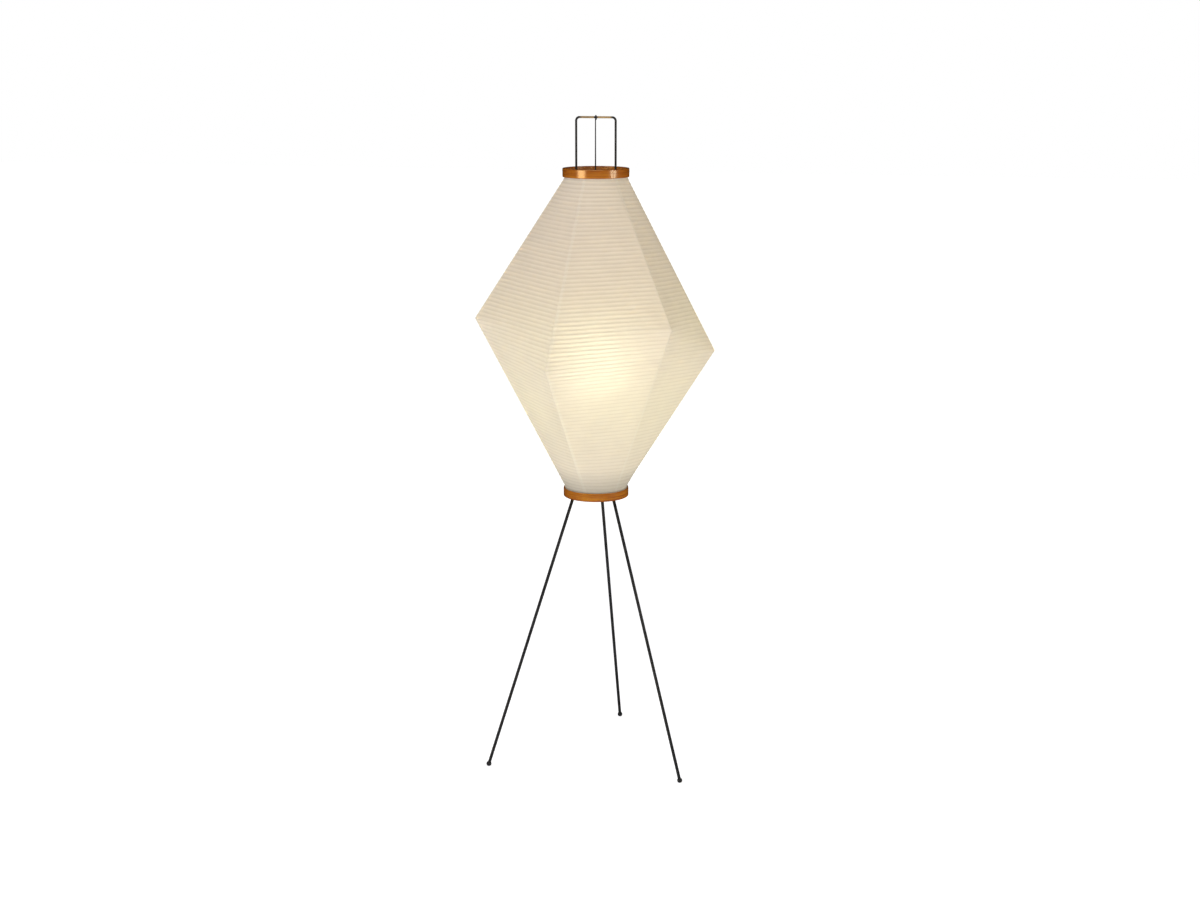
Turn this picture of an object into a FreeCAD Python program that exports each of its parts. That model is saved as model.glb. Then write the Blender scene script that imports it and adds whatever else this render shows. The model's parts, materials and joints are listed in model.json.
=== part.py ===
# Paper floor lamp: a three-legged rod stand with a wire frame, from which a faceted
# six-sided paper lantern hangs between two bent-wood hoops. Millimetres, +Z up,
# origin on the floor under the middle of the lamp, the back leg towards +Y.
import FreeCAD
import Part
import Sketcher
import math
import os
import re
from FreeCAD import Placement, Rotation, Vector

SIZES = [
    # The wire frame that carries the shade
    ("frame_top", 1502.2, "floor to the top of the frame's crossbar"),
    ("frame_span", 90.3, "between the axes of the frame's two rods"),
    ("frame_wire", 4.4, "diameter of the frame's rod"),
    ("frame_bend", 8.0, "bend radius at the frame's axis"),
    # Legs and feet
    ("leg_rod", 6.4, "diameter of a leg"),
    ("foot_circle", 526.6, "diameter of the circle through the feet"),
    ("foot_ball", 12.0, "diameter of a ball foot"),
    ("foot_flat", 0.5, "depth of the flat under a ball foot"),
    ("leg_inset", 19.5, "leg axis to the lower hoop's inside, at the lugs"),
    ("leg_pitch", 20.0, "radius of the leg axes at the hub's underside"),
    ("leg_entry", 12.0, "depth of a leg in the hub"),
    # Hub
    ("hub_height", 18.0, "height of the hub"),
    ("hub_rim", 6.0, "metal outside the leg sockets"),
    ("hub_ease", 1.5, "chamfer round the hub"),
    ("grub_dia", 4.0, "diameter of a grub screw"),
    ("grub_sink", 0.5, "depth of a grub screw below the hub's rim"),
    # Saddle that holds the frame's lower ends
    ("saddle_thick", 3.0, "thickness of the saddle strip"),
    ("saddle_width", 16.0, "width of the saddle strip"),
    ("saddle_end", 8.0, "strip beyond the rod axes"),
    ("ferrule_dia", 8.0, "outer diameter of a ferrule"),
    ("ferrule_height", 14.0, "height of a ferrule"),
    # Threaded tube through the hub, and what it clamps
    ("nipple_dia", 10.0, "diameter of the threaded tube"),
    ("nipple_bore", 6.5, "bore of the threaded tube"),
    ("gland_grip", 8.0, "length of the tube inside the gland"),
    ("washer_dia", 18.0, "diameter of the washer"),
    ("washer_thick", 1.6, "thickness of the washer"),
    ("nut_flats", 14.0, "nut across flats"),
    ("nut_height", 4.0, "height of the nut"),
    ("gland_dia", 16.0, "diameter of the cord gland"),
    ("gland_nose", 11.0, "diameter of the gland's lower end"),
    ("gland_length", 24.0, "length of the gland"),
    ("gland_taper", 10.0, "length of the gland's tapered end"),
    ("cord_bore", 7.0, "bore of the gland"),
    ("stem_dia", 14.0, "diameter of the sleeve under the holder"),
    ("stem_length", 50.0, "length of the sleeve under the holder"),
    # Lamp holder
    ("cap_height", 20.0, "height of the holder's cap"),
    ("cap_step", 1.5, "cap's rim inside the body's outside"),
    ("cap_seat", 2.0, "cap's rim under the insulator"),
    ("cap_floor", 8.0, "floor of the holder's cap, gripped by the tube"),
    ("cap_ease", 4.0, "chamfer under the holder's cap"),
    ("holder_dia", 43.0, "diameter of the holder's body"),
    ("holder_wall", 3.5, "wall of the holder's body"),
    ("holder_height", 36.0, "height of the holder's body"),
    ("insulator_height", 12.0, "height of the holder's insulator"),
    ("bulb_clear", 0.35, "between the bulb's cap and the screw shell"),
    ("shell_wall", 0.6, "wall of the holder's screw shell"),
    ("shell_height", 22.0, "height of the holder's screw shell"),
    ("contact_length", 14.0, "length of the centre contact's strip"),
    ("contact_width", 6.0, "width of the centre contact's strip"),
    ("contact_thick", 0.8, "thickness of the centre contact's strip"),
    ("button_height", 2.0, "height of the centre contact's button"),
    ("button_dia", 5.0, "diameter of the centre contact's button"),
    ("terminal_dia", 5.0, "diameter of a terminal screw's head"),
    ("terminal_shank", 2.5, "diameter of a terminal screw's shank"),
    ("terminal_grip", 6.0, "depth of a terminal screw in the insulator"),
    ("terminal_height", 3.0, "height of a terminal screw's head"),
    ("terminal_pitch", 16.0, "between the terminal screws"),
    # Bulb
    ("tip_dia", 9.0, "diameter of the bulb's tip contact"),
    ("tip_height", 1.5, "height of the bulb's tip contact"),
    ("base_height", 3.5, "height of the bulb's base insulator"),
    ("bulb_cap_dia", 26.2, "diameter of the bulb's screw cap"),
    ("bulb_cap_wall", 0.8, "wall of the bulb's screw cap"),
    ("bulb_cap_height", 22.0, "height of the bulb's screw cap"),
    ("housing_height", 35.0, "height of the bulb's housing above its cap"),
    ("housing_wall", 2.0, "wall of the bulb's housing"),
    ("dome_dia", 60.0, "diameter of the bulb's dome"),
    ("dome_seat", 8.0, "dome's centre above its rim"),
    ("dome_wall", 1.4, "wall of the bulb's dome"),
    ("board_thick", 1.6, "thickness of the light board"),
    ("board_ledge", 0.6, "housing's rim under the light board"),
    # Hoops and hanger
    ("hoop_dia", 150.2, "outer diameter of the hoops"),
    ("hoop_wall", 3.5, "thickness of the hoops"),
    ("hoop_height", 19.3, "height of the hoops"),
    ("hoop_ease", 0.8, "chamfer along the hoops' edges"),
    ("hook_drop", 119.0, "crossbar's axis to the cross wire's axis"),
    ("hook_wire", 2.4, "diameter of the hook's wire"),
    ("hook_tip", 6.0, "straight tip of the hook"),
    ("eye_close", 60.0, "eye's end above level, degrees"),
    ("cross_drop", 7.0, "upper hoop's top to the cross wire's axis"),
    ("cross_dia", 2.5, "diameter of the cross wire"),
    ("cross_entry", 2.0, "depth of the cross wire in the hoop"),
    ("lug_wire", 2.0, "diameter of a lug's wire"),
    ("lug_width", 12.0, "width of a lug at its axis"),
    ("lug_bend", 4.0, "bend radius of a lug at its axis"),
    ("lug_rise", 6.5, "lower hoop's bottom to the lugs' axis"),
    ("lug_entry", 2.0, "depth of a lug in the hoop"),
    # Paper and its rib
    ("shade_gap", 712.3, "between the two hoops"),
    ("shoulder", 314.0, "hoop to the nearer ring of belt corners"),
    ("belt_dia", 550.6, "diameter through the belt corners"),
    ("belt_bow", 2.0, "outward bow of a facet at the belt"),
    ("shade_turn", 19.55, "turn of the first ridge from +X, degrees"),
    ("neck_lap", 6.0, "depth of the paper inside a hoop"),
    ("neck_stand", 2.0, "straight paper that shows beside a hoop"),
    ("paper_wall", 0.8, "radial thickness of the lacquered paper"),
    ("rib_side", 1.8, "side of the split bamboo rib's square section"),
    ("rib_clear", 0.5, "between the rib and the paper"),
    ("rib_margin", 6.0, "bare paper before the rib's first and last turn"),
    ("rib_corner", 8.0, "length of rib that bends on each side of a ridge"),
    ("rib_turns", 80, "turns of the rib"),
    # Clearances
    ("fit_gap", 0.05, "between pieces that are fitted together"),
    ("run_gap", 0.3, "between pieces that come apart"),
]

RIDGES = 6
LEG_ANGLES = {"left": 210.0, "right": 330.0, "back": 90.0}
UP = Vector(0, 0, 1)

doc = FreeCAD.newDocument("PaperFloorLamp")
sheet = doc.addObject("Spreadsheet::Sheet", "Sizes")
for row, (alias, number, note) in enumerate(SIZES, start=1):
    sheet.set(f"A{row}", note)
    sheet.set(f"B{row}", str(number))
    sheet.setAlias(f"B{row}", alias)
doc.recompute()

pieces = []


def size(alias):
    return float(sheet.get(alias))


def bound(formula):
    """The formula with every size named in it read from the sheet."""
    return re.sub(r"[a-z_]{2,}", lambda word: "Sizes." + word.group(0), formula)


def value(formula):
    return float(sheet.evalExpression(bound(formula)))


def bind(thing, **formulas):
    for prop, formula in formulas.items():
        thing.setExpression(prop, bound(formula))
    return thing


def keep(thing, label):
    """Names a finished piece and puts it on the list of pieces to write."""
    thing.Label = label
    pieces.append(thing)
    return thing


def polar(radius, degrees, height):
    angle = math.radians(degrees)
    return Vector(radius * math.cos(angle), radius * math.sin(angle), height)


# Helpers that build one kind of solid each

def cylinder(name, radius, height, base=Vector(), along=UP):
    """A round bar from base, along a direction; height is a formula or a length."""
    bar = doc.addObject("Part::Cylinder", name)
    bind(bar, Radius=radius)
    if isinstance(height, str):
        bind(bar, Height=height)
    else:
        bar.Height = height
    bar.Placement = Placement(base, Rotation(UP, along))
    return bar


def cut(name, base, *tools):
    if len(tools) == 1:
        tool = tools[0]
    else:
        tool = doc.addObject("Part::MultiFuse", name + "_tools")
        tool.Shapes = list(tools)
    result = doc.addObject("Part::Cut", name)
    result.Base = base
    result.Tool = tool
    return result


def group(name, members):
    result = doc.addObject("Part::Compound", name)
    result.Links = list(members)
    return result


def pin_point(sketch, line, kind, axis, formula):
    """Fixes one coordinate of a line's first point to a formula, or to the axis at zero."""
    if formula == "0":
        sketch.addConstraint(Sketcher.Constraint("PointOnObject", line, 1, axis))
        return
    index = sketch.addConstraint(Sketcher.Constraint(kind, -1, 1, line, 1, value(formula)))
    sketch.setExpression(f"Constraints[{index}]", bound(formula))


def turned(name, outline, height):
    """A turned piece: its (radius, height) outline revolved about Z, set at a height."""
    body = doc.addObject("PartDesign::Body", name)
    sketch = body.newObject("Sketcher::SketchObject", name + "_outline")
    plane = [item for item in body.Origin.OriginFeatures if item.Role == "XZ_Plane"][0]
    sketch.AttachmentSupport = [(plane, "")]
    sketch.MapMode = "FlatFace"
    points = [Vector(value(r), value(z), 0) for r, z in outline]
    count = len(points)
    for index in range(count):
        sketch.addGeometry(Part.LineSegment(points[index], points[(index + 1) % count]), False)
    for index in range(count):
        sketch.addConstraint(Sketcher.Constraint("Coincident", index, 2, (index + 1) % count, 1))
    for index, (r, z) in enumerate(outline):
        pin_point(sketch, index, "DistanceX", -2, r)
        pin_point(sketch, index, "DistanceY", -1, z)
    turn = body.newObject("PartDesign::Revolution", name + "_turn")
    turn.Profile = sketch
    turn.ReferenceAxis = (sketch, ["V_Axis"])
    turn.Angle = 360
    body.Placement = Placement(Vector(0, 0, height), Rotation())
    return body


def ring(name, outer, inner, length, height):
    """A plain turned ring or tube; outer, inner and length are formulas."""
    return turned(name, [(inner, "0"), (outer, "0"), (outer, length), (inner, length)], height)


def rounded_path(corners, radius):
    """Edges of a bent rod: straight runs between the corners, joined by tangent arcs."""
    edges = []
    start = corners[0]
    for before, corner, after in zip(corners, corners[1:], corners[2:]):
        back = (before - corner).normalize()
        on = (after - corner).normalize()
        half = back.getAngle(on) / 2
        reach = radius / math.tan(half)
        middle = (back + on).normalize() * (radius / math.sin(half) - radius)
        first, last = corner + back * reach, corner + on * reach
        edges.append(Part.LineSegment(start, first).toShape())
        edges.append(Part.Arc(first, corner + middle, last).toShape())
        start = last
    edges.append(Part.LineSegment(start, corners[-1]).toShape())
    return edges


def wire_solid(edges, diameter):
    """A round wire along edges that run smoothly into each other."""
    path = Part.Wire(edges)
    first = edges[0]
    point = first.valueAt(first.FirstParameter)
    along = first.tangentAt(first.FirstParameter)
    section = Part.Wire(Part.Circle(point, along, diameter / 2).toShape())
    return path.makePipeShell([section], True, False)


def strip_solid(edges, side):
    """A square strip along edges that run smoothly into each other, its sides kept upright."""
    first = edges[0]
    point = first.valueAt(first.FirstParameter)
    along = first.tangentAt(first.FirstParameter)
    across = UP.cross(along).normalize() * (side / 2)
    rise = UP * (side / 2)
    corners = [point - across - rise, point + across - rise, point + across + rise, point - across + rise]
    sweep = Part.BRepOffsetAPI.MakePipeShell(Part.Wire(edges))
    sweep.setBiNormalMode(UP)
    sweep.add(Part.makePolygon(corners + corners[:1]), False, False)
    sweep.build()
    sweep.makeSolid()
    return sweep.shape()


def feature(name, shape, placement=None):
    thing = doc.addObject("Part::Feature", name)
    thing.Shape = shape
    if placement is not None:
        thing.Placement = placement
    return thing


# Heights and radii that follow from the driving sizes

bar_axis = size("frame_top") - size("frame_wire") / 2
cross_axis = bar_axis - size("hook_drop")
upper_top = cross_axis + size("cross_drop")
upper_bottom = upper_top - size("hoop_height")
lower_top = upper_bottom - size("shade_gap")
lower_bottom = lower_top - size("hoop_height")
lug_axis = lower_bottom + size("lug_rise")
hoop_inside = size("hoop_dia") / 2 - size("hoop_wall")

foot_centre = size("foot_ball") / 2 - size("foot_flat")
foot_radius = size("foot_circle") / 2
lug_leg_radius = hoop_inside - size("leg_inset")
leg_slope = (foot_radius - lug_leg_radius) / (lug_axis - foot_centre)
leg_lean = math.cos(math.atan(leg_slope))


def leg_radius(height):
    return foot_radius - leg_slope * (height - foot_centre)


hub_bottom = foot_centre + (foot_radius - size("leg_pitch")) / leg_slope
hub_top = hub_bottom + size("hub_height")
leg_top = hub_bottom + size("leg_entry")
hub_radius = size("leg_pitch") + size("leg_rod") / 2 / leg_lean + size("hub_rim")
saddle_top = hub_top + size("saddle_thick")
cap_bottom = saddle_top + size("stem_length")
cap_top = cap_bottom + size("cap_height")
insulator_top = cap_top + size("insulator_height")
contact_top = insulator_top + size("contact_thick") + size("button_height")
tip_bottom = contact_top + size("run_gap")
bulb_base = tip_bottom + size("tip_height")
bulb_cap_bottom = bulb_base + size("base_height")
bulb_cap_top = bulb_cap_bottom + size("bulb_cap_height")
housing_top = bulb_cap_top + size("housing_height")
dome_centre = housing_top + size("dome_seat")
washer_bottom = hub_bottom - size("washer_thick")
nut_bottom = washer_bottom - size("nut_height")
gland_bottom = nut_bottom - size("gland_length")


def make_legs():
    """Three straight rods that lean in from the ball feet to the hub."""
    for side, angle in LEG_ANGLES.items():
        low = polar(foot_radius, angle, foot_centre)
        high = polar(leg_radius(leg_top), angle, leg_top)
        along = (high - low).normalize()
        leg = cylinder("leg_" + side, "leg_rod / 2", (high - low).Length, low, along)
        keep(leg, "leg_" + side)

        ball = doc.addObject("Part::Sphere", "ball_" + side)
        bind(ball, Radius="foot_ball / 2")
        ball.Placement.Base = low
        socket = cylinder("socket_" + side, "leg_rod / 2 + fit_gap", "foot_ball", low, along)
        floor = cylinder("floor_" + side, "foot_ball", "foot_ball")
        floor.Placement.Base = Vector(low.x, low.y, -size("foot_ball"))
        keep(cut("foot_" + side, ball, socket, floor), "foot_" + side)


def make_hub():
    """Turned hub with slanted leg sockets and a grub screw against each leg."""
    hub_size = f"{hub_radius:.6f}"
    ease = "hub_ease"
    blank = turned("hub_blank", [
        ("nipple_dia / 2 + fit_gap", "0"), (f"{hub_size} - {ease}", "0"), (hub_size, ease),
        (hub_size, f"hub_height - {ease}"), (f"{hub_size} - {ease}", "hub_height"),
        ("nipple_dia / 2 + fit_gap", "hub_height")], hub_bottom)
    tools = []
    grubs = []
    grub_height = hub_bottom + size("leg_entry") / 2
    touch = leg_radius(grub_height - size("grub_dia") / 2) + size("leg_rod") / 2 / leg_lean
    for side, angle in LEG_ANGLES.items():
        below = hub_bottom - size("hub_height")
        low = polar(leg_radius(below), angle, below)
        high = polar(leg_radius(leg_top), angle, leg_top)
        tools.append(cylinder("leg_socket_" + side, "leg_rod / 2 + fit_gap", (high - low).Length,
                              low, (high - low).normalize()))
        outward = polar(1, angle, 0)
        inner = polar(leg_radius(grub_height), angle, grub_height)
        tools.append(cylinder("grub_hole_" + side, "grub_dia / 2 + fit_gap", hub_radius, inner, outward))
        seat = polar(touch + size("fit_gap"), angle, grub_height)
        length = hub_radius - size("grub_sink") - touch - size("fit_gap")
        grubs.append(cylinder("grub_" + side, "grub_dia / 2", length, seat, outward))
    keep(cut("leg_hub", blank, *tools), "leg_hub")
    keep(group("leg_grub_screws", grubs), "leg_grub_screws")


def make_saddle():
    """Strip across the hub with a brazed ferrule at each end for the frame's rods."""
    strip = doc.addObject("Part::Box", "saddle_strip")
    bind(strip, Length="frame_span + 2 * saddle_end", Width="saddle_width", Height="saddle_thick")
    left = -size("frame_span") / 2 - size("saddle_end")
    strip.Placement.Base = Vector(left, -size("saddle_width") / 2, hub_top)
    hole = cylinder("saddle_hole", "nipple_dia / 2 + fit_gap", "3 * saddle_thick",
                    Vector(0, 0, hub_top - size("saddle_thick")))
    keep(cut("frame_saddle", strip, hole), "frame_saddle")
    ferrules = []
    for sign in (-1, 1):
        name = "ferrule_" + ("left" if sign < 0 else "right")
        sleeve = ring(name, "ferrule_dia / 2", "frame_wire / 2 + fit_gap", "ferrule_height", saddle_top)
        sleeve.Placement.Base.x = sign * size("frame_span") / 2
        ferrules.append(sleeve)
    keep(group("frame_ferrules", ferrules), "frame_ferrules")


def make_frame():
    """One rod bent to an upside-down U, from ferrule to ferrule over the top."""
    half = size("frame_span") / 2
    corners = [Vector(-half, 0, saddle_top), Vector(-half, 0, bar_axis),
               Vector(half, 0, bar_axis), Vector(half, 0, saddle_top)]
    shape = wire_solid(rounded_path(corners, size("frame_bend")), size("frame_wire"))
    keep(feature("hanger_frame", shape), "hanger_frame")


def make_stem():
    """Threaded tube with what it clamps: washer, nut, gland and the sleeve under the holder."""
    low = nut_bottom - size("gland_grip")
    high = cap_bottom + size("cap_floor")
    outer = cylinder("nipple_outer", "nipple_dia / 2", high - low, Vector(0, 0, low))
    bore = cylinder("nipple_inner", "nipple_bore / 2", high - low, Vector(0, 0, low))
    keep(cut("threaded_nipple", outer, bore), "threaded_nipple")
    keep(ring("nipple_washer", "washer_dia / 2", "nipple_dia / 2 + fit_gap", "washer_thick", washer_bottom),
         "nipple_washer")
    hexagon = doc.addObject("Part::Prism", "nut_hexagon")
    hexagon.Polygon = 6
    bind(hexagon, Circumradius=f"nut_flats / {2 * math.cos(math.pi / 6):.9f}", Height="nut_height")
    hexagon.Placement.Base.z = nut_bottom
    hole = cylinder("nut_hole", "nipple_dia / 2 + fit_gap", "nut_height", Vector(0, 0, nut_bottom))
    keep(cut("nipple_nut", hexagon, hole), "nipple_nut")
    keep(turned("cord_gland", [
        ("cord_bore / 2", "0"), ("gland_nose / 2", "0"), ("gland_dia / 2", "gland_taper"),
        ("gland_dia / 2", "gland_length"), ("nipple_dia / 2 + fit_gap", "gland_length"),
        ("nipple_dia / 2 + fit_gap", "gland_length - gland_grip"),
        ("cord_bore / 2", "gland_length - gland_grip")], gland_bottom), "cord_gland")
    keep(ring("stem_sleeve", "stem_dia / 2", "nipple_dia / 2 + fit_gap", "stem_length", saddle_top),
         "stem_sleeve")


def make_holder():
    """Screw lamp holder: cap, body, insulator, screw shell, centre contact and terminals."""
    puck_radius = "holder_dia / 2 - holder_wall - fit_gap"
    rim = "holder_dia / 2 - cap_step"
    hollow = f"{puck_radius} - cap_seat"
    keep(turned("holder_cap", [
        ("nipple_dia / 2 + fit_gap", "0"), (f"{rim} - cap_ease", "0"), (rim, "cap_ease"),
        (rim, "cap_height"), (hollow, "cap_height"), (hollow, "cap_floor"),
        ("nipple_dia / 2 + fit_gap", "cap_floor")], cap_bottom), "holder_cap")
    keep(ring("holder_body", "holder_dia / 2", "holder_dia / 2 - holder_wall", "holder_height", cap_top),
         "holder_body")
    puck = cylinder("insulator_puck", puck_radius, "insulator_height", Vector(0, 0, cap_top))
    holes = []
    screws = []
    for sign in (-1, 1):
        name = "terminal_" + ("left" if sign < 0 else "right")
        x = sign * size("terminal_pitch") / 2
        holes.append(cylinder(name + "_hole", "terminal_shank / 2 + fit_gap", "terminal_grip",
                              Vector(x, 0, cap_top)))
        head = cylinder(name + "_head", "terminal_dia / 2", "terminal_height",
                        Vector(x, 0, cap_top - size("terminal_height")))
        shank = cylinder(name + "_shank", "terminal_shank / 2", "terminal_grip", Vector(x, 0, cap_top))
        screw = doc.addObject("Part::Fuse", name)
        screw.Base = head
        screw.Tool = shank
        screws.append(screw)
    keep(cut("holder_insulator", puck, *holes), "holder_insulator")
    keep(group("terminal_screws", screws), "terminal_screws")
    bore = "bulb_cap_dia / 2 + bulb_clear"
    keep(ring("screw_shell", f"{bore} + shell_wall", bore, "shell_height", insulator_top), "screw_shell")
    strip = doc.addObject("Part::Box", "contact_strip")
    bind(strip, Length="contact_length", Width="contact_width", Height="contact_thick")
    strip.Placement.Base = Vector(-size("contact_length") / 2, -size("contact_width") / 2, insulator_top)
    button = cylinder("contact_button", "button_dia / 2", "button_height",
                      Vector(0, 0, insulator_top + size("contact_thick")))
    contact = doc.addObject("Part::Fuse", "centre_contact")
    contact.Base = strip
    contact.Tool = button
    keep(contact, "centre_contact")


def make_bulb():
    """Light bulb: tip, base insulator, screw cap, housing, light board and opal dome."""
    keep(cylinder("bulb_tip", "tip_dia / 2", "tip_height", Vector(0, 0, tip_bottom)), "bulb_tip")
    keep(turned("bulb_base", [
        ("0", "0"), ("tip_dia / 2", "0"), ("bulb_cap_dia / 2 - bulb_cap_wall", "base_height"),
        ("0", "base_height")], bulb_base), "bulb_base")
    keep(turned("bulb_cap", [
        ("0", "0"), ("bulb_cap_dia / 2", "0"), ("bulb_cap_dia / 2", "bulb_cap_height"),
        ("bulb_cap_dia / 2 - bulb_cap_wall", "bulb_cap_height"),
        ("bulb_cap_dia / 2 - bulb_cap_wall", "bulb_cap_wall"), ("0", "bulb_cap_wall")], bulb_cap_bottom),
        "bulb_cap")
    rim = math.sqrt((size("dome_dia") / 2) ** 2 - size("dome_seat") ** 2)
    dome_inside = math.sqrt((size("dome_dia") / 2 - size("dome_wall")) ** 2 - size("dome_seat") ** 2)
    board = f"{dome_inside:.6f} - run_gap"
    neck = "bulb_cap_dia / 2 - bulb_cap_wall - fit_gap"
    sink = "bulb_cap_height / 2"
    top = f"{sink} + housing_height"
    keep(turned("bulb_housing", [
        (f"{neck} - housing_wall", "0"), (neck, "0"), (neck, sink), ("bulb_cap_dia / 2", sink),
        (f"{rim:.6f}", top), (f"{board} - board_ledge", top),
        (f"{neck} - housing_wall", sink)], bulb_cap_top - value(sink)), "bulb_housing")
    keep(cylinder("light_board", board, "board_thick", Vector(0, 0, housing_top)), "light_board")
    outer = doc.addObject("Part::Sphere", "dome_outer")
    bind(outer, Radius="dome_dia / 2")
    inner = doc.addObject("Part::Sphere", "dome_inner")
    bind(inner, Radius="dome_dia / 2 - dome_wall")
    for ball in (outer, inner):
        ball.Placement.Base.z = dome_centre
    below = cylinder("dome_below", "dome_dia", "dome_dia", Vector(0, 0, housing_top - size("dome_dia")))
    keep(cut("bulb_dome", outer, inner, below), "bulb_dome")


def make_hoop(name, height):
    """Bent-wood hoop with eased edges."""
    inner = "hoop_dia / 2 - hoop_wall"
    return turned(name, [
        (f"{inner} + hoop_ease", "0"), ("hoop_dia / 2 - hoop_ease", "0"), ("hoop_dia / 2", "hoop_ease"),
        ("hoop_dia / 2", "hoop_height - hoop_ease"), ("hoop_dia / 2 - hoop_ease", "hoop_height"),
        (f"{inner} + hoop_ease", "hoop_height"), (inner, "hoop_height - hoop_ease"), (inner, "hoop_ease")],
        height)


def make_hanger():
    """Upper hoop, the cross wire sprung into it, and the hook that hangs it on the crossbar."""
    shank_y = -(size("frame_wire") / 2 + size("run_gap") + size("hook_wire") / 2)
    eye = (size("cross_dia") + size("hook_wire")) / 2 + size("fit_gap")
    cross_y = shank_y - eye
    half = math.sqrt(hoop_inside ** 2 - cross_y ** 2)
    reach = half + size("cross_entry")
    wire = cylinder("cross_wire", "cross_dia / 2", 2 * reach,
                    Vector(-reach, cross_y, cross_axis), Vector(1, 0, 0))
    drill_reach = reach + size("fit_gap")
    drill = cylinder("cross_holes", "cross_dia / 2 + fit_gap", 2 * drill_reach,
                     Vector(-drill_reach, cross_y, cross_axis), Vector(1, 0, 0))
    keep(cut("upper_hoop", make_hoop("upper_hoop_blank", upper_bottom), drill), "upper_hoop")
    keep(wire, "cross_wire")

    tip = Vector(0, -shank_y, bar_axis - size("hook_tip"))
    over = [Vector(0, -shank_y, bar_axis), Vector(0, 0, bar_axis - shank_y), Vector(0, shank_y, bar_axis)]
    foot = Vector(0, shank_y, cross_axis)
    under = Vector(0, cross_y, cross_axis - eye)
    front = Vector(0, cross_y - eye, cross_axis)
    close = math.radians(size("eye_close"))
    rise = Vector(0, cross_y - eye * math.cos(close / 2), cross_axis + eye * math.sin(close / 2))
    end = Vector(0, cross_y - eye * math.cos(close), cross_axis + eye * math.sin(close))
    edges = [Part.LineSegment(tip, over[0]).toShape(), Part.Arc(*over).toShape(),
             Part.LineSegment(over[2], foot).toShape(), Part.Arc(foot, under, front).toShape(),
             Part.Arc(front, rise, end).toShape()]
    keep(feature("hanger_hook", wire_solid(edges, size("hook_wire"))), "hanger_hook")


def make_lower_hoop():
    """Lower hoop with three wire lugs that come to rest on the legs."""
    lowest = lug_axis - size("lug_wire") / 2
    leg_face = leg_radius(lowest) + size("leg_rod") / 2 / leg_lean
    bow = leg_face + size("run_gap") + size("lug_wire") / 2
    half = size("lug_width") / 2
    end = math.sqrt(hoop_inside ** 2 - half ** 2) + size("lug_entry")
    lugs = []
    holes = []
    for side, angle in LEG_ANGLES.items():
        turn = Placement(Vector(0, 0, lug_axis), Rotation(UP, angle))
        corners = [Vector(end, -half, 0), Vector(bow, -half, 0), Vector(bow, half, 0), Vector(end, half, 0)]
        shape = wire_solid(rounded_path(corners, size("lug_bend")), size("lug_wire"))
        lugs.append(feature("lug_" + side, shape, turn))
        for sign in (-1, 1):
            start = turn.multVec(Vector(bow, sign * half, 0))
            outward = polar(1, angle, 0)
            name = f"lug_hole_{side}_{'left' if sign < 0 else 'right'}"
            depth = end - bow + size("fit_gap")
            holes.append(cylinder(name, "lug_wire / 2 + fit_gap", depth, start, outward))
    keep(cut("lower_hoop", make_hoop("lower_hoop_blank", lower_bottom), *holes), "lower_hoop")
    keep(group("hoop_lugs", lugs), "hoop_lugs")


# The lantern: six straight ridges run from hoop to hoop over belt corners that stand
# high and low by turns, and the rib is spaced evenly along each ridge

neck_radius = hoop_inside - size("run_gap")
neck_top = upper_bottom - size("neck_stand")
neck_bottom = lower_top + size("neck_stand")
belt_radius = size("belt_dia") / 2
belt_high = upper_bottom - size("shoulder")
belt_low = lower_top + size("shoulder")


def ridge_angle(ridge):
    return size("shade_turn") + ridge * 360.0 / RIDGES


def ridge_corner(ridge):
    return belt_low if ridge % 2 == 0 else belt_high


def ridge_lengths(ridge):
    spread = belt_radius - neck_radius
    corner = ridge_corner(ridge)
    return math.hypot(spread, neck_top - corner), math.hypot(spread, corner - neck_bottom)


facet_lean = math.cos(math.pi / RIDGES) * math.cos(
    math.atan((belt_radius - neck_radius) * math.cos(math.pi / RIDGES) / size("shoulder")))
rib_inset = size("paper_wall") + (size("rib_side") / math.sqrt(2) + size("rib_clear")) / facet_lean
ridge_total = sum(ridge_lengths(0))
short_run = min(ridge_lengths(0))
long_run = ridge_total - short_run


def ridge_point(ridge, along, inset):
    """Point on a ridge at a distance down it, set in towards the lamp's axis."""
    upper, lower = ridge_lengths(ridge)
    scale = ridge_total / (upper + lower)
    corner = ridge_corner(ridge)
    if along / scale <= upper:
        share = along / scale / upper
        radius = neck_radius + (belt_radius - neck_radius) * share
        height = neck_top + (corner - neck_top) * share
    else:
        share = (along / scale - upper) / lower
        radius = belt_radius + (neck_radius - belt_radius) * share
        height = corner + (neck_bottom - corner) * share
    return polar(radius - inset, ridge_angle(ridge), height)


def facet_bow(along, inset):
    """Outward bow of a facet between two ridges: round at the hoops, almost flat at the belt."""
    round_bow = (neck_radius - inset) * (1 - math.cos(math.pi / RIDGES))
    nearest = min(along, ridge_total - along)
    share = min(1.0, nearest / short_run)
    return round_bow + (size("belt_bow") - round_bow) * share


def bowed_arc(first, last, bow):
    """Arc from point to point, bowed away from the lamp's axis."""
    chord = (first + last) * 0.5
    outward = Vector(chord.x, chord.y, 0).normalize()
    return Part.Arc(first, chord + outward * bow, last)


def gore_section(ridge, along, drop, wall):
    """Closed section of a paper gore: outer arc, side, inner arc, side."""
    lift = Vector(0, 0, drop)
    outer = [ridge_point(r, along, 0) + lift for r in (ridge, ridge + 1)]
    inner = [ridge_point(r, along, wall) + lift for r in (ridge, ridge + 1)]
    edges = [bowed_arc(outer[0], outer[1], facet_bow(along, 0)).toShape(),
             Part.LineSegment(outer[1], inner[1]).toShape(),
             bowed_arc(inner[1], inner[0], facet_bow(along, wall)).toShape(),
             Part.LineSegment(inner[0], outer[0]).toShape()]
    return Part.Wire(edges)


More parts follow.
